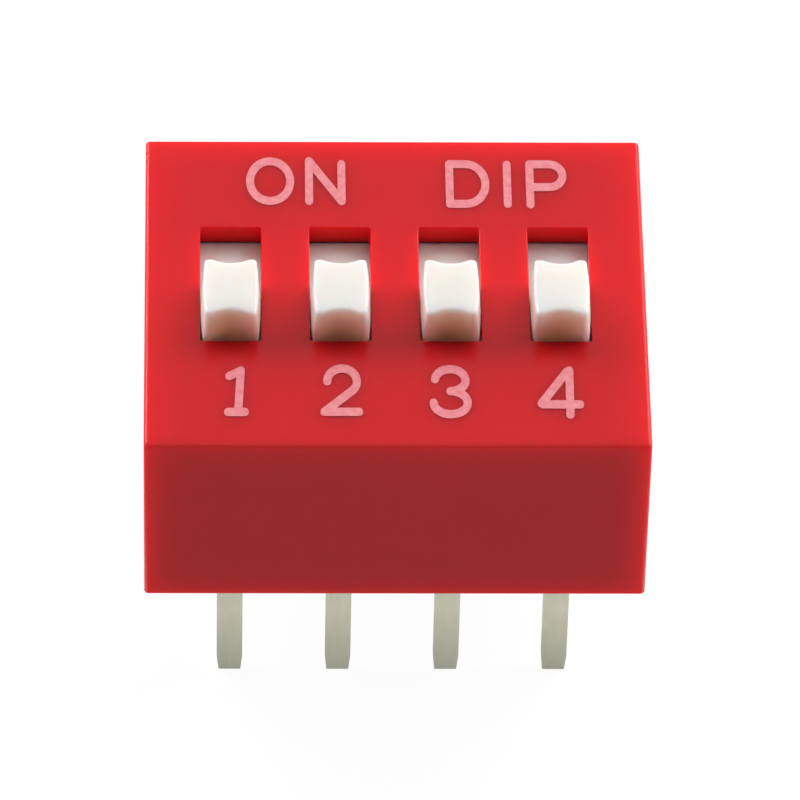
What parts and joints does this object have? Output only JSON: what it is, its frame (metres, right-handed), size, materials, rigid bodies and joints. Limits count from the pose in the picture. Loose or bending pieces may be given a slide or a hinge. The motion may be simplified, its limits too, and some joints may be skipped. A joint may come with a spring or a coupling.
{
  "type": "dip switch",
  "caption": "Slide DIP switch for through-hole boards: a moulded cover latched over a base, slider knobs with scooped ends in slots, and bridging contacts over bent pin terminals.",
  "frame": {"origin": "centre of the field of eight pins, on the board's surface under the standoff pad", "axes": "+X along the row from slider 1 to slider 4, +Y towards the ON side, +Z away from the board"},
  "size_m": [0.0116, 0.0098, 0.0096],
  "materials": {
    "cover": "moulded red PBT with a soft gloss",
    "base": "moulded black PBT, matte",
    "terminal": "tin-plated brass sheet, satin",
    "slider": "moulded white acetal, satin",
    "contact": "gold-plated phosphor bronze strip"
  },
  "bodies": {
    "housing": {"cover": "cover", "base": "base", "terminal_front_1": "terminal", "terminal_front_2": "terminal", "terminal_front_3": "terminal", "terminal_front_4": "terminal", "terminal_back_1": "terminal", "terminal_back_2": "terminal", "terminal_back_3": "terminal", "terminal_back_4": "terminal"},
    "slider_1": {"actuator_1": "slider", "contact_1": "contact"},
    "slider_2": {"actuator_2": "slider", "contact_2": "contact"},
    "slider_3": {"actuator_3": "slider", "contact_3": "contact"},
    "slider_4": {"actuator_4": "slider", "contact_4": "contact"}
  },
  "joints": [
    {"name": "slide_1", "type": "slide", "parent": "housing", "child": "slider_1", "axis": [0, 1, 0], "range_m": [0, 0.0017]},
    {"name": "slide_2", "type": "slide", "parent": "housing", "child": "slider_2", "axis": [0, 1, 0], "range_m": [0, 0.0017]},
    {"name": "slide_3", "type": "slide", "parent": "housing", "child": "slider_3", "axis": [0, 1, 0], "range_m": [0, 0.0017]},
    {"name": "slide_4", "type": "slide", "parent": "housing", "child": "slider_4", "axis": [0, 1, 0], "range_m": [0, 0.0017]}
  ]
}
